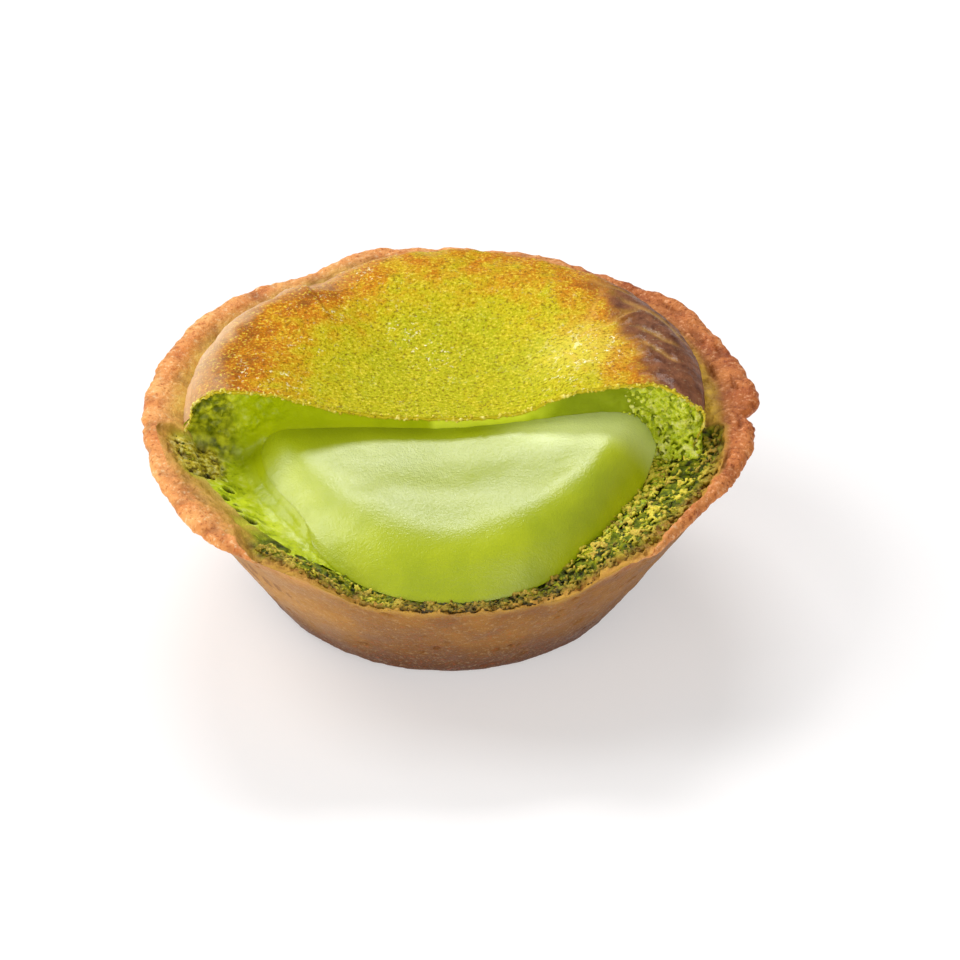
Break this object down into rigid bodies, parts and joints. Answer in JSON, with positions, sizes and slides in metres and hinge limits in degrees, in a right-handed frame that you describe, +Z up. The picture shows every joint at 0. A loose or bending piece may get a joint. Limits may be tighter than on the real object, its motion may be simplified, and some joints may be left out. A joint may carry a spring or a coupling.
{
  "type": "matcha cheese tart",
  "caption": "Individual matcha cheese tart in a baked shell, its front bitten away to show the soft centre.",
  "frame": {"origin": "centre of the flat base that the tart stands on", "axes": "+Z up through the top of the tart, -Y towards the bitten side, +X to the right seen from there"},
  "size_m": [0.0709, 0.0659, 0.0275],
  "materials": {
    "crust": "baked shortcrust, sandy and matt",
    "filling": "set cheese filling with a baked, faintly glossy skin",
    "custard": "soft and satin, slightly translucent"
  },
  "bodies": {
    "root": {"tart_shell": "crust", "set_filling": "filling", "soft_centre": "custard"}
  },
  "joints": []
}
